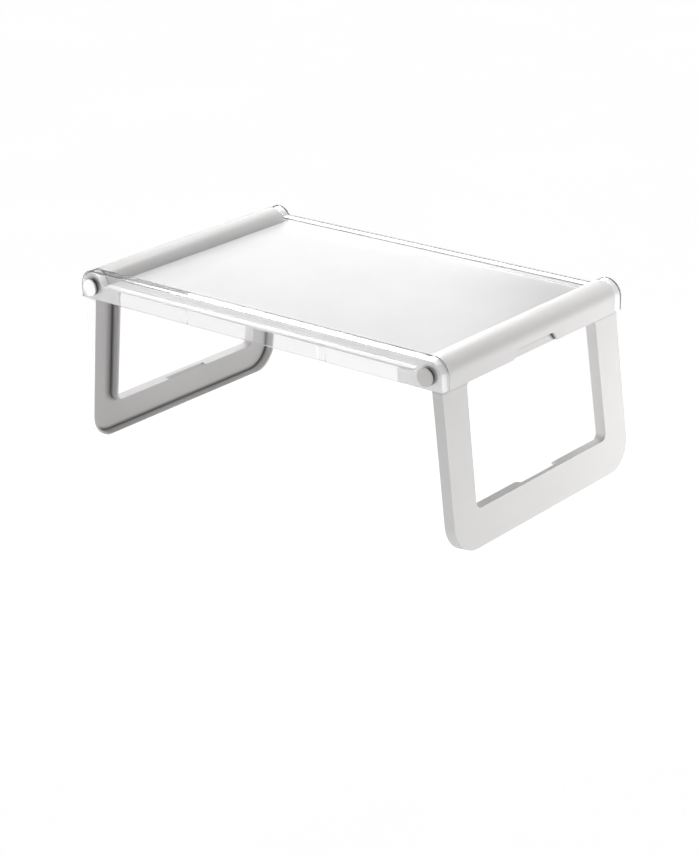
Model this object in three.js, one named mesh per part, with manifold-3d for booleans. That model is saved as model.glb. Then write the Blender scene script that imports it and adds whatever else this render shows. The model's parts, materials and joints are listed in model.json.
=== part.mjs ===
// Folding bed tray table: a shallow clear-sided tray on two leg frames that fold flat underneath.
//
// Millimetres, +Z up. X runs along the tray's length, -Y is the near long side (high clear wall) and
// +Y the far long side (low clear wall). The origin is on the ground under the middle of the tray.
// The legs stand open. Each turns about a line along Y through its two pivot pins.

import * as THREE from "three";
import { mergeVertices } from "three/addons/utils/BufferGeometryUtils.js";
import Module from "manifold-3d";

const wasm = await Module();
wasm.setup();

// Tray
const trayLength = 550;
const trayWidth = 337;
const skirtBottom = 190;
const pivotHeight = 206;
const ridgeRadius = 19.6;
const clearance = 0.3;

// Opaque end covers
const coverThickness = 3.5;
const tongueThickness = 1.2;
const ledgeReach = 6;
const ledgeThickness = 1.1;
const notchHalfBottom = 41;
const notchHalfTop = 33;
const notchHeight = 11;
const notchCornerRadius = 3;
const cheekReach = 43;
const cheekThickness = 2.5;
const cheekTaperLength = 11;
const cheekTaperDepth = 1.5;
const cheekCornerRadius = 4;

// Floor panel
const floorTop = 210;
const floorThickness = 2.6;

// Clear walls
const wallThickness = 2;
const wallEdgeRadius = 2;
const wallInnerFillet = 0.8;
const nearFlangeWidth = 12.8;
const farFlangeWidth = 14;
const farRimHeight = 215.6;
const ribCentre = 105.5;
const ribWidth = 11;
const ribBottom = 191;
const ribTop = 207;
const ribProud = 0.8;
const hookHeight = 1.6;
const hookProud = 1.2;

// Leg frames
const splay = THREE.MathUtils.degToRad(6);
const legDepth = 14;
const legOuterFace = 13.74;
const legHalfTop = 163;
const legHalfBottom = 165.2;
const legFootRadius = 36;
const legSkin = 2.5;
const windowHalfTop = 121;
const windowHalfBottom = 124;
const windowTop = 188;
const windowBottom = 42.4;
const windowCornerRadius = 8;
const gripHalfWidth = 34;
const gripDepth = 7;

// Pivot pins, each with a dark friction washer under its head
const pinHeadRadius = 10.6;
const pinHeadHeight = 2.1;
const pinHeadRounding = 0.7;
const pinShankRadius = 4.2;
const pinShankLength = 19;
const washerRadius = 10;
const washerThickness = 2.9;
const wallHoleRadius = 4.5;
const bossRadius = 8;
const bossHoleRadius = 4.3;
const bossLength = 15;

// Values that follow from the ones above
const halfLength = trayLength / 2;
const halfWidth = trayWidth / 2;
const pivotX = halfLength - ridgeRadius;
const crestHeight = pivotHeight + ridgeRadius;
const wallInner = halfWidth - wallThickness;
const bandInnerRadius = ridgeRadius - wallThickness;
const tongueOuterRadius = bandInnerRadius - clearance;
const tongueInnerRadius = tongueOuterRadius - tongueThickness;
const coverInnerRadius = ridgeRadius - coverThickness;
const floorUnderside = floorTop - floorThickness;
const floorHalfLength = pivotX - ridgeRadius - clearance;
const floorHalfWidth = wallInner - clearance;
const legInnerFace = legOuterFace - legDepth;
const ledgeTop = floorUnderside + ledgeThickness;
const washerBack = halfWidth + clearance / 2;
const pinHeadBack = washerBack + washerThickness + clearance / 2;

const arcSteps = 20;
const roundSteps = 40;
const edgeSteps = 5;
const pinEdgeSteps = 4;
const boxMargin = 5;

const plastic = (color, roughness) => new THREE.MeshStandardMaterial({ color, roughness, metalness: 0 });

const coverMaterial = plastic(0xe6e5e5, 0.45);
const floorMaterial = plastic(0xf4f4f5, 0.25);
const legMaterial = plastic(0xdedcdb, 0.45);
const pinMaterial = plastic(0xdddbd9, 0.35);
const washerMaterial = plastic(0x3c3b3b, 0.6);
const clearMaterial = plastic(0xf2f5f7, 0.08);
clearMaterial.transparent = true;
clearMaterial.opacity = 0.35;

// ---- Solids ----

function toSolid(geometry) {
  const bare = geometry.clone();
  bare.deleteAttribute("normal");
  bare.deleteAttribute("uv");
  const welded = mergeVertices(bare, 1e-5);
  return new wasm.Manifold(new wasm.Mesh({
    numProp: 3,
    vertProperties: new Float32Array(welded.attributes.position.array),
    triVerts: new Uint32Array(welded.index.array),
  }));
}

function toGeometry(solid) {
  const mesh = solid.getMesh();
  const geometry = new THREE.BufferGeometry();
  geometry.setAttribute("position", new THREE.BufferAttribute(new Float32Array(mesh.vertProperties), 3));
  geometry.setIndex(new THREE.BufferAttribute(new Uint32Array(mesh.triVerts), 1));
  const faceted = geometry.toNonIndexed();
  faceted.computeVertexNormals();
  return faceted;
}

const joined = (first, ...rest) => rest.reduce((solid, next) => solid.add(next), first);
const cut = (first, ...rest) => rest.reduce((solid, next) => solid.subtract(next), first);

function box(low, high) {
  const size = high.map((value, axis) => value - low[axis]);
  const geometry = new THREE.BoxGeometry(...size);
  geometry.translate(...low.map((value, axis) => value + size[axis] / 2));
  return toSolid(geometry);
}

// An outline drawn in X and Z, swept along Y from one value to another.
function sweepAlongY(outline, fromY, toY, bevel = 0) {
  const geometry = new THREE.ExtrudeGeometry(new THREE.Shape(outline), {
    depth: toY - fromY - 2 * bevel,
    bevelEnabled: bevel > 0,
    bevelThickness: bevel,
    bevelSize: bevel,
    bevelOffset: -bevel,
    bevelSegments: edgeSteps,
  });
  geometry.rotateX(Math.PI / 2);
  geometry.translate(0, toY - bevel, 0);
  return toSolid(geometry);
}

// An outline drawn in Y and Z, swept along X.
function sweepAlongX(shape, fromX, toX) {
  const geometry = new THREE.ExtrudeGeometry(shape, {
    depth: toX - fromX,
    bevelEnabled: false,
    curveSegments: arcSteps / 2,
  });
  geometry.applyMatrix4(new THREE.Matrix4().set(
    0, 0, 1, fromX,
    1, 0, 0, 0,
    0, 1, 0, 0,
    0, 0, 0, 1,
  ));
  return toSolid(geometry);
}

function cylinderAlongY(radius, fromY, toY, segments = roundSteps, centreX = 0, centreZ = 0) {
  const geometry = new THREE.CylinderGeometry(radius, radius, toY - fromY, segments);
  geometry.translate(centreX, (fromY + toY) / 2, centreZ);
  return toSolid(geometry);
}

function arc(centreX, centreZ, radius, fromAngle, toAngle, steps = arcSteps) {
  return Array.from({ length: steps + 1 }, (_, step) => {
    const angle = fromAngle + (toAngle - fromAngle) * step / steps;
    return new THREE.Vector2(centreX + radius * Math.cos(angle), centreZ + radius * Math.sin(angle));
  });
}

const mirroredX = (points) => points.map((point) => new THREE.Vector2(-point.x, point.y)).reverse();

// A mirror image about the plane through the origin, square to the axis whose factor is -1.
function mirrored(geometry, factors) {
  const image = geometry.clone();
  image.scale(...factors);
  const place = image.attributes.position;
  const second = new THREE.Vector3();
  const third = new THREE.Vector3();
  for (let corner = 0; corner < place.count; corner += 3) {
    second.fromBufferAttribute(place, corner + 1);
    third.fromBufferAttribute(place, corner + 2);
    place.setXYZ(corner + 1, third.x, third.y, third.z);
    place.setXYZ(corner + 2, second.x, second.y, second.z);
  }
  image.computeVertexNormals();
  return image;
}

// ---- Opaque end cover (drawn at the +X end) ----

// A shell about the pivot line: half round on top, straight down outside, open below and inside.
function coverShell(outerRadius, innerRadius, fromY, toY) {
  const footAngle = (radius) => Math.PI - Math.asin((floorUnderside - pivotHeight) / radius);
  const outer = arc(pivotX, pivotHeight, outerRadius, 0, footAngle(outerRadius));
  const inner = arc(pivotX, pivotHeight, innerRadius, footAngle(innerRadius), 0);
  const outline = [
    new THREE.Vector2(pivotX + innerRadius, skirtBottom),
    new THREE.Vector2(pivotX + outerRadius, skirtBottom),
    ...outer,
    ...inner,
  ];
  return sweepAlongY(outline, fromY, toY);
}

function handNotch() {
  const shape = new THREE.Shape();
  const top = skirtBottom + notchHeight;
  const side = new THREE.Vector2(notchHalfTop - notchHalfBottom, notchHeight).normalize();
  shape.moveTo(-notchHalfBottom, skirtBottom - boxMargin);
  shape.lineTo(notchHalfBottom, skirtBottom - boxMargin);
  shape.lineTo(notchHalfBottom, skirtBottom);
  shape.lineTo(notchHalfTop - side.x * notchCornerRadius, top - side.y * notchCornerRadius);
  shape.quadraticCurveTo(notchHalfTop, top, notchHalfTop - notchCornerRadius, top);
  shape.lineTo(-notchHalfTop + notchCornerRadius, top);
  shape.quadraticCurveTo(-notchHalfTop, top, -notchHalfTop + side.x * notchCornerRadius,
    top - side.y * notchCornerRadius);
  shape.lineTo(-notchHalfBottom, skirtBottom);
  return sweepAlongX(shape, halfLength - 2 * coverThickness, halfLength + boxMargin);
}

// A plate under each end of the ridge, just inside the clear wall. It carries the pivot pin, and its
// inner end is rounded back from the wall. Drawn on the near side; side is 1 for the far side.
function cheek(side) {
  const innerEnd = pivotX - cheekReach;
  const ledgeStart = floorHalfLength - ledgeReach;
  const top = floorUnderside - clearance;
  const ledgeAngle = Math.PI - Math.asin((ledgeTop - pivotHeight) / tongueOuterRadius);
  const outline = [
    new THREE.Vector2(innerEnd, skirtBottom),
    new THREE.Vector2(pivotX + tongueOuterRadius, skirtBottom),
    ...arc(pivotX, pivotHeight, tongueOuterRadius, 0, ledgeAngle),
    new THREE.Vector2(ledgeStart, ledgeTop),
    new THREE.Vector2(ledgeStart, top),
    ...arc(innerEnd + cheekCornerRadius, top - cheekCornerRadius, cheekCornerRadius, Math.PI / 2, Math.PI,
      edgeSteps),
  ];
  const outer = side * floorHalfWidth;
  const inner = side * (floorHalfWidth - cheekThickness);
  const plan = new THREE.Shape();
  plan.moveTo(halfLength, outer);
  plan.lineTo(innerEnd + cheekTaperLength, outer);
  plan.quadraticCurveTo(innerEnd, outer, innerEnd, outer - side * cheekTaperDepth);
  plan.lineTo(innerEnd, inner);
  plan.lineTo(halfLength, inner);
  const column = new THREE.ExtrudeGeometry(plan, { depth: crestHeight, bevelEnabled: false });
  const plate = sweepAlongY(outline, Math.min(outer, inner) - boxMargin, Math.max(outer, inner) + boxMargin);
  const hole = cylinderAlongY(wallHoleRadius, -halfWidth, halfWidth, roundSteps, pivotX, pivotHeight);
  return cut(plate.intersect(toSolid(column)), hole);
}

function endCover() {
  const nearStep = -halfWidth + nearFlangeWidth + clearance;
  const farStep = halfWidth - farFlangeWidth - clearance;
  const ridge = coverShell(ridgeRadius, coverInnerRadius, nearStep, farStep);
  const tongue = coverShell(tongueOuterRadius, tongueInnerRadius, -floorHalfWidth, floorHalfWidth);
  const ledge = box(
    [floorHalfLength - ledgeReach, -floorHalfWidth + ribProud + clearance, floorUnderside],
    [pivotX - coverInnerRadius - ledgeThickness, floorHalfWidth - ribProud - clearance, ledgeTop],
  );
  return cut(joined(ridge, tongue, ledge, cheek(-1), cheek(1)), handNotch());
}

// ---- Floor panel ----

function ribClearances() {
  const reach = ribWidth / 2 + clearance;
  const notches = [];
  for (const sideX of [-1, 1]) {
    for (const sideY of [-1, 1]) {
      const edge = sideY * (wallInner - ribProud - clearance);
      const outside = sideY * halfWidth;
      notches.push(box(
        [sideX * ribCentre - reach, Math.min(edge, outside), floorUnderside - boxMargin],
        [sideX * ribCentre + reach, Math.max(edge, outside), floorTop + boxMargin],
      ));
    }
  }
  return notches;
}

function floorPanel() {
  const panel = box([-floorHalfLength, -floorHalfWidth, floorUnderside],
    [floorHalfLength, floorHalfWidth, floorTop]);
  const rebateStart = floorHalfLength - ledgeReach - clearance;
  const rebateTop = ledgeTop + clearance;
  const rebates = [-1, 1].map((side) => box(
    [Math.min(side * rebateStart, side * halfLength), -halfWidth, floorUnderside - boxMargin],
    [Math.max(side * rebateStart, side * halfLength), halfWidth, rebateTop],
  ));
  return cut(panel, ...rebates, ...ribClearances());
}

// ---- Clear walls (drawn on the near side, at -Y) ----

// The wall's outline from the outside in, at an inset from the outer surface. The near wall runs
// straight from crest to crest; the far wall dips between the two ridges to its lower rim.
function wallOutline(inset, rimHeight) {
  const radius = ridgeRadius - inset;
  const rim = rimHeight - inset;
  const endAngle = rim >= pivotHeight + radius
    ? Math.PI / 2
    : Math.PI - Math.asin((rim - pivotHeight) / radius);
  const rightEnd = [
    new THREE.Vector2(pivotX + radius, skirtBottom),
    ...arc(pivotX, pivotHeight, radius, 0, endAngle),
  ];
  return [...rightEnd, ...mirroredX(rightEnd)];
}

function pivotHoles(outerY, innerY) {
  return [-1, 1].map((side) => (
    cylinderAlongY(wallHoleRadius, outerY, innerY, roundSteps, side * pivotX, pivotHeight)
  ));
}

function snapRibs() {
  const ribs = [];
  for (const side of [-1, 1]) {
    const low = side * ribCentre - ribWidth / 2;
    const high = side * ribCentre + ribWidth / 2;
    ribs.push(box([low, -wallInner - wallThickness / 2, ribBottom], [high, -wallInner + ribProud, ribTop]));
    ribs.push(box([low, -wallInner - wallThickness / 2, ribBottom],
      [high, -wallInner + hookProud, ribBottom + hookHeight]));
  }
  return ribs;
}

function clearWall(flangeWidth, rimHeight) {
  const outerY = -halfWidth;
  const innerEdge = outerY + flangeWidth;
  const block = sweepAlongY(wallOutline(0, rimHeight), outerY, innerEdge + wallEdgeRadius, wallEdgeRadius);
  const trimmed = cut(block, box([-trayLength, innerEdge, 0], [trayLength, 0, crestHeight + boxMargin]));
  const hollowOutline = wallOutline(wallThickness, rimHeight);
  hollowOutline[0].y -= boxMargin;
  hollowOutline[hollowOutline.length - 1].y -= boxMargin;
  const hollow = sweepAlongY(hollowOutline, -wallInner, innerEdge + boxMargin, wallInnerFillet);
  const lipSpan = box([-pivotX, innerEdge - wallThickness, floorTop + clearance],
    [pivotX, innerEdge, crestHeight]);
  const ridgeRoom = [-1, 1].map((side) => (
    cylinderAlongY(bandInnerRadius, innerEdge - wallThickness - boxMargin, innerEdge + boxMargin,
      4 * arcSteps, side * pivotX, pivotHeight)
  ));
  const lip = cut(lipSpan.intersect(trimmed), ...ridgeRoom);
  const shell = joined(cut(trimmed, hollow), lip, ...snapRibs());
  return cut(shell, ...pivotHoles(outerY - boxMargin, -wallInner + boxMargin));
}

// ---- Leg frame (drawn upright about the pivot line, outer face towards +X) ----

const legLow = -(pivotHeight + legOuterFace * Math.sin(splay)) / Math.cos(splay);
const skirtLevel = skirtBottom - pivotHeight;

function legHalfAt(height) {
  const share = (skirtLevel - height) / (skirtLevel - legLow);
  return legHalfTop + (legHalfBottom - legHalfTop) * share;
}

// The frame's outline in Y and Z, drawn in from its true edge by an inset.
function legOutline(top, inset) {
  const low = legLow + inset;
  const radius = legFootRadius - inset;
  const shape = new THREE.Shape();
  const centreY = legHalfBottom - legFootRadius;
  const centreZ = legLow + legFootRadius;
  const topHalf = legHalfAt(top) - inset;
  shape.moveTo(-topHalf, top);
  shape.lineTo(-centreY - radius, centreZ);
  shape.absarc(-centreY, centreZ, radius, Math.PI, Math.PI * 1.5, false);
  shape.lineTo(centreY, low);
  shape.absarc(centreY, centreZ, radius, Math.PI * 1.5, Math.PI * 2, false);
  shape.lineTo(topHalf, top);
  return shape;
}

function windowOutline(outset) {
  const top = (windowTop - pivotHeight) / Math.cos(splay) + outset;
  const bottom = (windowBottom - pivotHeight) / Math.cos(splay) - outset;
  const radius = windowCornerRadius + outset;
  const halfTop = windowHalfTop + outset;
  const halfBottom = windowHalfBottom + outset;
  const shape = new THREE.Shape();
  shape.moveTo(-halfTop, top - radius);
  shape.lineTo(-halfBottom, bottom + radius);
  shape.absarc(-halfBottom + radius, bottom + radius, radius, Math.PI, Math.PI * 1.5, false);
  shape.lineTo(halfBottom - radius, bottom);
  shape.absarc(halfBottom - radius, bottom + radius, radius, Math.PI * 1.5, Math.PI * 2, false);
  shape.lineTo(halfTop, top - radius);
  shape.absarc(halfTop - radius, top - radius, radius, 0, Math.PI / 2, false);
  shape.lineTo(-halfTop + radius, top);
  shape.absarc(-halfTop + radius, top - radius, radius, Math.PI / 2, Math.PI, false);
  return shape;
}

function legFrame() {
  const topHalf = legHalfAt(0);
  const plate = sweepAlongX(legOutline(0, 0), legInnerFace, legOuterFace);
  const barrel = cylinderAlongY(legOuterFace, -topHalf, topHalf, 4 * arcSteps);
  const pocket = sweepAlongX(legOutline(0, legSkin), legInnerFace - boxMargin, legOuterFace - legSkin);
  const barrelRoom = cylinderAlongY(legOuterFace - legSkin, -topHalf + legSkin, topHalf - legSkin,
    4 * arcSteps);
  const windowRim = sweepAlongX(windowOutline(legSkin), legInnerFace, legOuterFace);
  const opening = sweepAlongX(windowOutline(0), legInnerFace - boxMargin, legOuterFace + boxMargin);
  const gripBottom = (windowBottom - pivotHeight) / Math.cos(splay);
  const grip = box([legInnerFace - boxMargin, -gripHalfWidth, gripBottom - 2 * legSkin],
    [legInnerFace + gripDepth, gripHalfWidth, gripBottom + 2 * legSkin]);
  const innerSide = box([-legOuterFace - boxMargin, -halfWidth, legSkin],
    [legInnerFace, halfWidth, legOuterFace]);
  const shell = cut(joined(plate, barrel), pocket, barrelRoom);
  const rimmed = cut(joined(shell, cut(windowRim, grip)), opening);
  const bosses = [-1, 1].map((side) => {
    const outer = side * topHalf;
    const inner = side * (topHalf - bossLength);
    return cylinderAlongY(bossRadius, Math.min(outer, inner), Math.max(outer, inner));
  });
  const holes = [-1, 1].map((side) => {
    const outer = side * (topHalf + boxMargin);
    const inner = side * (topHalf - bossLength - boxMargin);
    return cylinderAlongY(bossHoleRadius, Math.min(outer, inner), Math.max(outer, inner));
  });
  const upright = toGeometry(cut(joined(cut(rimmed, innerSide), ...bosses), ...holes));
  upright.rotateY(-splay);
  upright.translate(pivotX, 0, pivotHeight);
  const ground = box([-trayLength, -trayWidth, -pivotHeight], [trayLength, trayWidth, 0]);
  return cut(toSolid(upright), ground);
}

// ---- Pivot pin and its washer, about the Y axis at the far side ----

function pivotPin() {
  const headFront = pinHeadBack + pinHeadHeight;
  const edge = pinHeadRadius - pinHeadRounding;
  const profile = [
    new THREE.Vector2(0, pinHeadBack - pinShankLength),
    new THREE.Vector2(pinShankRadius, pinHeadBack - pinShankLength),
    new THREE.Vector2(pinShankRadius, pinHeadBack),
    new THREE.Vector2(pinHeadRadius, pinHeadBack),
    ...arc(edge, headFront - pinHeadRounding, pinHeadRounding, 0, Math.PI / 2, pinEdgeSteps),
    new THREE.Vector2(0, headFront),
  ];
  return toSolid(new THREE.LatheGeometry(profile, roundSteps));
}

function washer() {
  const ring = cylinderAlongY(washerRadius, washerBack, washerBack + washerThickness);
  return cut(ring, cylinderAlongY(wallHoleRadius, wallInner, halfWidth + 2 * boxMargin));
}

// ---- The assembly ----

function part(name, geometry, material) {
  const mesh = new THREE.Mesh(geometry, material);
  mesh.name = name;
  return mesh;
}

const table = new THREE.Group();
table.name = "folding_tray_table";

const otherEnd = [-1, 1, 1];
const otherSide = [1, -1, 1];
const cover = toGeometry(endCover());
const farWall = toGeometry(clearWall(farFlangeWidth, farRimHeight));
const leg = toGeometry(legFrame());

table.add(part("floor_panel", toGeometry(floorPanel()), floorMaterial));
table.add(part("right_end_cover", cover, coverMaterial));
table.add(part("left_end_cover", mirrored(cover, otherEnd), coverMaterial));
table.add(part("near_wall", toGeometry(clearWall(nearFlangeWidth, crestHeight)), clearMaterial));
table.add(part("far_wall", mirrored(farWall, otherSide), clearMaterial));
table.add(part("right_leg", leg, legMaterial));

const leftLeg = part("left_leg", leg, legMaterial);
leftLeg.rotation.z = Math.PI;
table.add(leftLeg);

const fittings = [
  ["pin", toGeometry(pivotPin()), pinMaterial],
  ["washer", toGeometry(washer()), washerMaterial],
];

for (const [endName, sideX] of [["left", -1], ["right", 1]]) {
  const pivot = new THREE.Group();
  pivot.position.set(sideX * pivotX, 0, pivotHeight);
  for (const [piece, far, material] of fittings) {
    pivot.add(part(`${endName}_far_${piece}`, far, material));
    pivot.add(part(`${endName}_near_${piece}`, mirrored(far, otherSide), material));
  }
  table.add(pivot);
}

export default table;
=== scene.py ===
"""Looks for the folding tray table: fine-edged plastic pieces, clear walls, studio light and camera.

Metres, +Z up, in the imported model's frame. Every opaque and clear piece starts from its CAD solid's
surface, gets small moulded edge roundings and smooth shading, and rides on that solid's body.
"""

import json
import math

import bmesh
import bpy
from mathutils import Matrix, Vector


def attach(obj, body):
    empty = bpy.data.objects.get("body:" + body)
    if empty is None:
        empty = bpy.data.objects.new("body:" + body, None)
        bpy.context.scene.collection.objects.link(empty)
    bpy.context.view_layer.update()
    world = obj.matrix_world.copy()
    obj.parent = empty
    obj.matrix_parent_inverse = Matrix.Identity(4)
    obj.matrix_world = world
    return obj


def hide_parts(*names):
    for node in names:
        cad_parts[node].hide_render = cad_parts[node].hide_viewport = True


MM = 0.001
SHARP = math.radians(30)
LEG_SPLAY = math.radians(6)

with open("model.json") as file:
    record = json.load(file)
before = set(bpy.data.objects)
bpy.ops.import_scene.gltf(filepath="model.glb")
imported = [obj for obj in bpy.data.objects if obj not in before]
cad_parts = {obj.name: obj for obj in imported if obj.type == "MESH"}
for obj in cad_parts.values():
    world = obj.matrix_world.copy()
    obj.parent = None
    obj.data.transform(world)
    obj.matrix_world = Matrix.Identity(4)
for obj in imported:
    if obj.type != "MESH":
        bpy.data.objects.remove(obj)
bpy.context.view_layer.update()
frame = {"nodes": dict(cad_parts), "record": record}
body_of_node = {
    node: body
    for body, nodes in frame["record"]["behaviour"]["bodies"].items()
    for node in nodes
}


# ---- Materials ----


def shader(name):
    """A new node material, with its node tree and its Principled node."""
    material = bpy.data.materials.new(name)
    material.use_nodes = True
    tree = material.node_tree
    return material, tree, tree.nodes["Principled BSDF"]


def noise(tree, scale, detail, stretch=(1.0, 1.0, 1.0)):
    """Noise over the object's own coordinates, with features of about 1 / scale metres."""
    place = tree.nodes.new("ShaderNodeTexCoord")
    mapping = tree.nodes.new("ShaderNodeMapping")
    mapping.inputs["Scale"].default_value = stretch
    texture = tree.nodes.new("ShaderNodeTexNoise")
    texture.inputs["Scale"].default_value = scale
    texture.inputs["Detail"].default_value = detail
    tree.links.new(place.outputs["Object"], mapping.inputs["Vector"])
    tree.links.new(mapping.outputs["Vector"], texture.inputs["Vector"])
    return texture.outputs["Fac"]


def ranged(tree, value, low, high):
    """The value spread from its usual 0.3 to 0.7 onto low to high."""
    node = tree.nodes.new("ShaderNodeMapRange")
    node.inputs["From Min"].default_value = 0.3
    node.inputs["From Max"].default_value = 0.7
    node.inputs["To Min"].default_value = low
    node.inputs["To Max"].default_value = high
    tree.links.new(value, node.inputs["Value"])
    return node.outputs["Result"]


def tinted(tree, value, dark, light):
    """A colour between dark and light, by value."""
    node = tree.nodes.new("ShaderNodeMix")
    node.data_type = "RGBA"
    node.inputs[6].default_value = (*dark, 1.0)
    node.inputs[7].default_value = (*light, 1.0)
    tree.links.new(value, node.inputs[0])
    return node.outputs[2]


def bumped(tree, height, strength, depth, normal=None):
    """A bump from height, on top of another normal if one is given."""
    node = tree.nodes.new("ShaderNodeBump")
    node.inputs["Strength"].default_value = strength
    node.inputs["Distance"].default_value = depth
    tree.links.new(height, node.inputs["Height"])
    if normal is not None:
        tree.links.new(normal, node.inputs["Normal"])
    return node.outputs["Normal"]


def painted_gap_shade(tree, colour, reach):
    """A colour with painted shade: darkened by ambient occlusion in narrow gaps, where shade falls."""
    gap_occlusion = tree.nodes.new("ShaderNodeAmbientOcclusion")
    gap_occlusion.inputs["Distance"].default_value = reach
    spread = tree.nodes.new("ShaderNodeMapRange")
    spread.inputs["From Min"].default_value = 0.45
    spread.inputs["From Max"].default_value = 0.9
    tree.links.new(gap_occlusion.outputs["AO"], spread.inputs["Value"])
    node = tree.nodes.new("ShaderNodeMix")
    node.data_type = "RGBA"
    # The painted shade's darkest colour, reached in the deepest gaps.
    node.inputs[6].default_value = (0.12, 0.115, 0.11, 1.0)
    tree.links.new(colour, node.inputs[7])
    tree.links.new(spread.outputs["Result"], node.inputs[0])
    return node.outputs[2]


def moulded_plastic(name, colour, roughness, grain_depth, wave_depth, painted_shade_reach=0.0):
    """White moulded plastic: faint cloudiness, a fine spark-eroded grain and slight sink waves, with painted shade
    in narrow gaps when a reach is given.
    """
    material, tree, bsdf = shader(name)
    clouds = noise(tree, 9.0, 3.0)
    shade = tuple(channel * 0.975 for channel in colour)
    tint = tinted(tree, ranged(tree, clouds, 0.0, 1.0), shade, colour)
    # Painted shade: with a reach above zero, the colour darkens in narrow gaps.
    if painted_shade_reach > 0.0:
        tint = painted_gap_shade(tree, tint, painted_shade_reach)
    tree.links.new(tint, bsdf.inputs["Base Color"])
    blotches = noise(tree, 55.0, 4.0)
    tree.links.new(ranged(tree, blotches, roughness - 0.04, roughness + 0.04), bsdf.inputs["Roughness"])
    waves = bumped(tree, noise(tree, 8.0, 0.0), 0.25, wave_depth)
    grain = bumped(tree, noise(tree, 2600.0, 2.0), 0.35, grain_depth, waves)
    tree.links.new(grain, bsdf.inputs["Normal"])
    bsdf.inputs["IOR"].default_value = 1.49
    return material


def clear_plastic(name):
    """Clear plastic with a faint milkiness, very slightly wavy from moulding."""
    material, tree, bsdf = shader(name)
    bsdf.inputs["Base Color"].default_value = (0.9, 0.9, 0.905, 1.0)
    bsdf.inputs["Transmission Weight"].default_value = 0.96
    bsdf.inputs["IOR"].default_value = 1.49
    tree.links.new(ranged(tree, noise(tree, 40.0, 3.0), 0.01, 0.04), bsdf.inputs["Roughness"])
    tree.links.new(bumped(tree, noise(tree, 12.0, 1.0), 0.15, 0.00005), bsdf.inputs["Normal"])
    return material


def shade_black_matt(name):
    """Near-black matt material with a fine dusty bloom; on the washers its darkness is painted shade for the gap
    behind each pin head.
    """
    material, tree, bsdf = shader(name)
    bloom = ranged(tree, noise(tree, 900.0, 3.0), 0.0, 1.0)
    tree.links.new(tinted(tree, bloom, (0.035, 0.034, 0.034), (0.06, 0.058, 0.057)), bsdf.inputs["Base Color"])
    tree.links.new(bumped(tree, noise(tree, 2000.0, 2.0), 0.4, 0.00002), bsdf.inputs["Normal"])
    bsdf.inputs["Roughness"].default_value = 0.6
    return material


def studio_floor(name):
    """A pale matt floor, lit from within enough to stay near white under the object."""
    material, tree, bsdf = shader(name)
    tree.links.new(
        tinted(tree, ranged(tree, noise(tree, 3.0, 2.0), 0.0, 1.0), (0.93, 0.93, 0.93), (0.95, 0.95, 0.95)),
        bsdf.inputs["Base Color"],
    )
    bsdf.inputs["Roughness"].default_value = 0.9
    bsdf.inputs["Specular IOR Level"].default_value = 0.0
    bsdf.inputs["Emission Color"].default_value = (1.0, 1.0, 1.0, 1.0)
    bsdf.inputs["Emission Strength"].default_value = 0.6
    material.cycles.emission_sampling = "NONE"
    return material


cover_plastic = moulded_plastic("cover_plastic", (0.77, 0.76, 0.755), 0.36, 0.00001, 0.00005)
# The legs carry painted shade in gaps within 7 mm of other surfaces.
leg_plastic = moulded_plastic("leg_plastic", (0.77, 0.76, 0.755), 0.42, 0.00001, 0.00005, 7.0 * MM)
# Near-black washers: painted shade in the gap behind the pin heads.
washer_painted_shade = shade_black_matt("washer_painted_shade")
pin_plastic = moulded_plastic("pin_plastic", (0.77, 0.76, 0.755), 0.36, 0.00001, 0.0)
floor_plastic = moulded_plastic("floor_plastic", (0.78, 0.775, 0.78), 0.35, 0.000002, 0.0)
acrylic = clear_plastic("clear_acrylic")


# ---- Pieces ----


def weigh_edges(build, outward, minor_share):
    """Weights for edge rounding: full on the outline of the face that looks outward, less elsewhere."""
    weights = build.edges.layers.float.new("bevel_weight_edge")
    middle = sum((vertex.co for vertex in build.verts), Vector()) / len(build.verts)
    for edge in build.edges:
        if edge.calc_face_angle(0.0) < SHARP:
            continue
        edge[weights] = minor_share
        sides = [face for face in edge.link_faces if face.normal.dot(outward) < 0.5]
        spot = (edge.verts[0].co + edge.verts[1].co) / 2
        if len(sides) == 1 and sides[0].normal.dot(spot - middle) > 0.0:
            edge[weights] = 1.0


def refined(node, material, edge_radius, outward=None, minor_share=0.4):
    """A smooth-shaded piece with rounded edges, made from a CAD solid's surface."""
    build = bmesh.new()
    build.from_mesh(frame["nodes"][node].data)
    bmesh.ops.remove_doubles(build, verts=build.verts, dist=0.001 * MM)
    bmesh.ops.dissolve_limit(
        build, angle_limit=math.radians(0.5), verts=build.verts, edges=build.edges
    )
    if outward is not None:
        build.normal_update()
        weigh_edges(build, outward, minor_share)
    mesh = bpy.data.meshes.new(f"{node}_piece")
    build.to_mesh(mesh)
    build.free()
    for layer in ("custom_normal", "sharp_face", "sharp_edge"):
        if layer in mesh.attributes:
            mesh.attributes.remove(mesh.attributes[layer])
    mesh.materials.clear()
    mesh.materials.append(material)
    mesh.shade_smooth()
    piece = bpy.data.objects.new(f"{node}_piece", mesh)
    bpy.context.scene.collection.objects.link(piece)
    bevel = piece.modifiers.new("edge_rounding", "BEVEL")
    bevel.width = edge_radius
    bevel.segments = 3 if outward is None else 5
    bevel.limit_method = "ANGLE" if outward is None else "WEIGHT"
    bevel.angle_limit = SHARP
    bevel.harden_normals = True
    bevel.use_clamp_overlap = True
    weighting = piece.modifiers.new("flat_faces_flat", "WEIGHTED_NORMAL")
    weighting.weight = 80
    weighting.keep_sharp = True
    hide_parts(node)
    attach(piece, body_of_node[node])
    return piece


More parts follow.
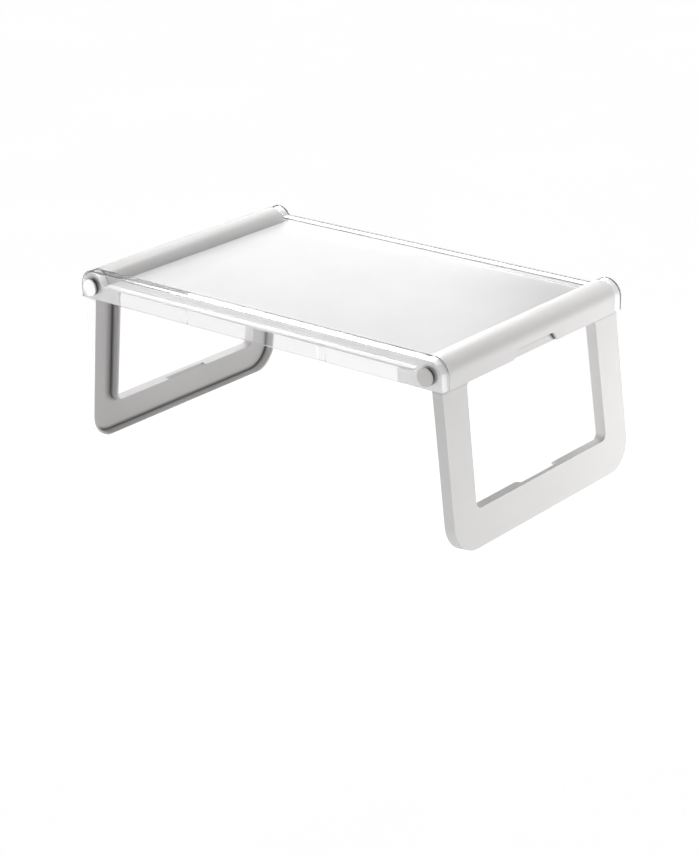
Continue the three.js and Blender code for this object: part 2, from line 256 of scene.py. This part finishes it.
pieces = [refined("floor_panel", floor_plastic, 0.3 * MM)]
for end, side_x in (("left", -1), ("right", 1)):
    leg_outward = Vector((side_x * math.cos(LEG_SPLAY), 0.0, math.sin(LEG_SPLAY)))
    pieces.append(refined(f"{end}_end_cover", cover_plastic, 0.35 * MM))
    pieces.append(refined(f"{end}_leg", leg_plastic, 2.4 * MM, leg_outward))
    for side in ("near", "far"):
        pieces.append(refined(f"{end}_{side}_pin", pin_plastic, 0.3 * MM))
        # The washers are near-black: painted shade in the gap behind each pin head.
        pieces.append(refined(f"{end}_{side}_washer", washer_painted_shade, 0.3 * MM))
for side in ("near", "far"):
    pieces.append(refined(f"{side}_wall", acrylic, 0.3 * MM))


# ---- Stage, light and camera ----


def stage_floor(size):
    """The floor is seen and mirrored by the object, but the lamps alone light the object."""
    build = bmesh.new()
    bmesh.ops.create_grid(build, x_segments=8, y_segments=8, size=size / 2)
    mesh = bpy.data.meshes.new("stage_floor")
    build.to_mesh(mesh)
    build.free()
    mesh.materials.append(studio_floor("studio_floor"))
    floor = bpy.data.objects.new("stage_floor", mesh)
    bpy.context.scene.collection.objects.link(floor)
    floor.visible_diffuse = False
    floor.visible_shadow = False
    return floor


def lamp(name, data, position, target, lit, blockers=None):
    """A lamp at a position, turned to a target, that lights only one collection of objects.

    Only the blockers shade it, so its light passes the clear walls where they aren't among them.
    """
    holder = bpy.data.objects.new(name, data)
    holder.location = position
    holder.rotation_euler = (Vector(target) - Vector(position)).to_track_quat("-Z", "Y").to_euler()
    bpy.context.scene.collection.objects.link(holder)
    holder.visible_transmission = False
    holder.light_linking.receiver_collection = lit
    if blockers is not None:
        holder.light_linking.blocker_collection = blockers
    return holder


def softbox(name, position, target, size, power, lit, blockers):
    data = bpy.data.lights.new(name, "AREA")
    data.shape = "SQUARE"
    data.size = size
    data.energy = power
    return lamp(name, data, position, target, lit, blockers)


def far_softbox(name, around, height, power, lit, blockers):
    """A large softbox at a compass angle from +X and a height angle, aimed at the object's middle."""
    around, height = math.radians(around), math.radians(height)
    toward = Vector((
        math.cos(around) * math.cos(height),
        math.sin(around) * math.cos(height),
        math.sin(height),
    ))
    middle = Vector((0.0, 0.0, 0.12))
    return softbox(name, middle + toward * 1.7, middle, 0.9, power, lit, blockers)


def studio_world(strength):
    world = bpy.data.worlds.new("studio")
    world.use_nodes = True
    background = world.node_tree.nodes["Background"]
    background.inputs["Color"].default_value = (1.0, 1.0, 1.0, 1.0)
    background.inputs["Strength"].default_value = strength
    bpy.context.scene.world = world


def lit_group(name, objects):
    group = bpy.data.collections.new(name)
    for item in objects:
        group.objects.link(item)
    return group


def light_studio(floor, pieces):
    """Cross light: high lamps behind, low fills at the near left and far right, little in front."""
    lit = lit_group("lit_table", pieces)
    opaque = lit_group("opaque_pieces", [piece for piece in pieces if "wall" not in piece.name])
    right_cover = lit_group("lit_right_cover", [piece for piece in pieces if piece.name == "right_end_cover_piece"])
    far_softbox("high_far", 120, 60, 16.8, lit, opaque)
    far_softbox("high_left", 180, 60, 1.8, lit, opaque)
    far_softbox("high_far_right", 60, 60, 1.6, lit, opaque)
    far_softbox("low_far_left", 135, 25, 6.8, opaque, opaque)
    far_softbox("low_right", 0, 25, 3.4, lit, opaque)
    far_softbox("under_far_right", 45, -25, 2.6, lit, opaque)
    far_softbox("under_right", 0, -25, 0.8, lit, opaque)
    far_softbox("under_near", 270, -60, 4.0, lit, opaque)
    fills = [
        softbox("near_left_fill", (-0.75, -0.75, 0.1), (-0.2, -0.1, 0.12), 0.4, 5.0, lit, lit),
        softbox("near_left_glow", (-0.75, -0.75, 0.1), (-0.2, -0.1, 0.12), 0.4, 1.6, lit, opaque),
        softbox("near_fill", (-0.3, -0.9, -0.3), (0.0, 0.0, 0.12), 0.4, 2.8, lit, opaque),
        softbox("far_right_fill", (0.75, 0.55, 0.05), (0.25, 0.1, 0.12), 0.4, 3.0, lit, opaque),
        softbox("right_fill", (0.8, -0.3, 0.0), (0.25, 0.0, 0.12), 0.4, 1.05, lit, opaque),
        softbox("near_right_glow", (0.1, -0.9, 0.05), (0.25, -0.15, 0.2), 0.4, 1.6, right_cover, opaque),
    ]
    for fill in fills:
        fill.visible_glossy = False
    sky = bpy.data.lights.new("floor_sky", "SUN")
    sky.angle = math.radians(120)
    sky.energy = 1.0
    lit_floor = lit_group("lit_floor", [floor])
    lamp("floor_sky", sky, (0.0, 0.0, 3.0), (0.0, 0.0, 0.0), lit_floor, lit_floor)


def camera(azimuth, elevation, roll, aim, distance, lens):
    """Azimuth 0 looks along +Y; the lens is for a 36 mm sensor on the image's longer side."""
    azimuth, elevation, roll = (math.radians(angle) for angle in (azimuth, elevation, roll))
    back = Vector((
        math.sin(azimuth) * math.cos(elevation),
        -math.cos(azimuth) * math.cos(elevation),
        math.sin(elevation),
    ))
    level = Vector((math.cos(azimuth), math.sin(azimuth), 0.0))
    upright = back.cross(level)
    right = level * math.cos(roll) + upright * math.sin(roll)
    up = upright * math.cos(roll) - level * math.sin(roll)
    turn = Matrix((right, up, back)).transposed()
    data = bpy.data.cameras.new("camera")
    data.lens = lens
    data.sensor_width = 36.0
    data.clip_end = 500.0
    holder = bpy.data.objects.new("camera", data)
    holder.matrix_world = Matrix.Translation(Vector(aim) + back * distance) @ turn.to_4x4()
    bpy.context.scene.collection.objects.link(holder)
    bpy.context.scene.camera = holder


floor = stage_floor(400.0)
light_studio(floor, pieces)
studio_world(0.1)
camera(40.921, 22.156, -1.756, (-1.732 * MM, 0.0, 30.228 * MM), 2.708, 94.316)
bpy.context.scene.view_settings.view_transform = "Standard"
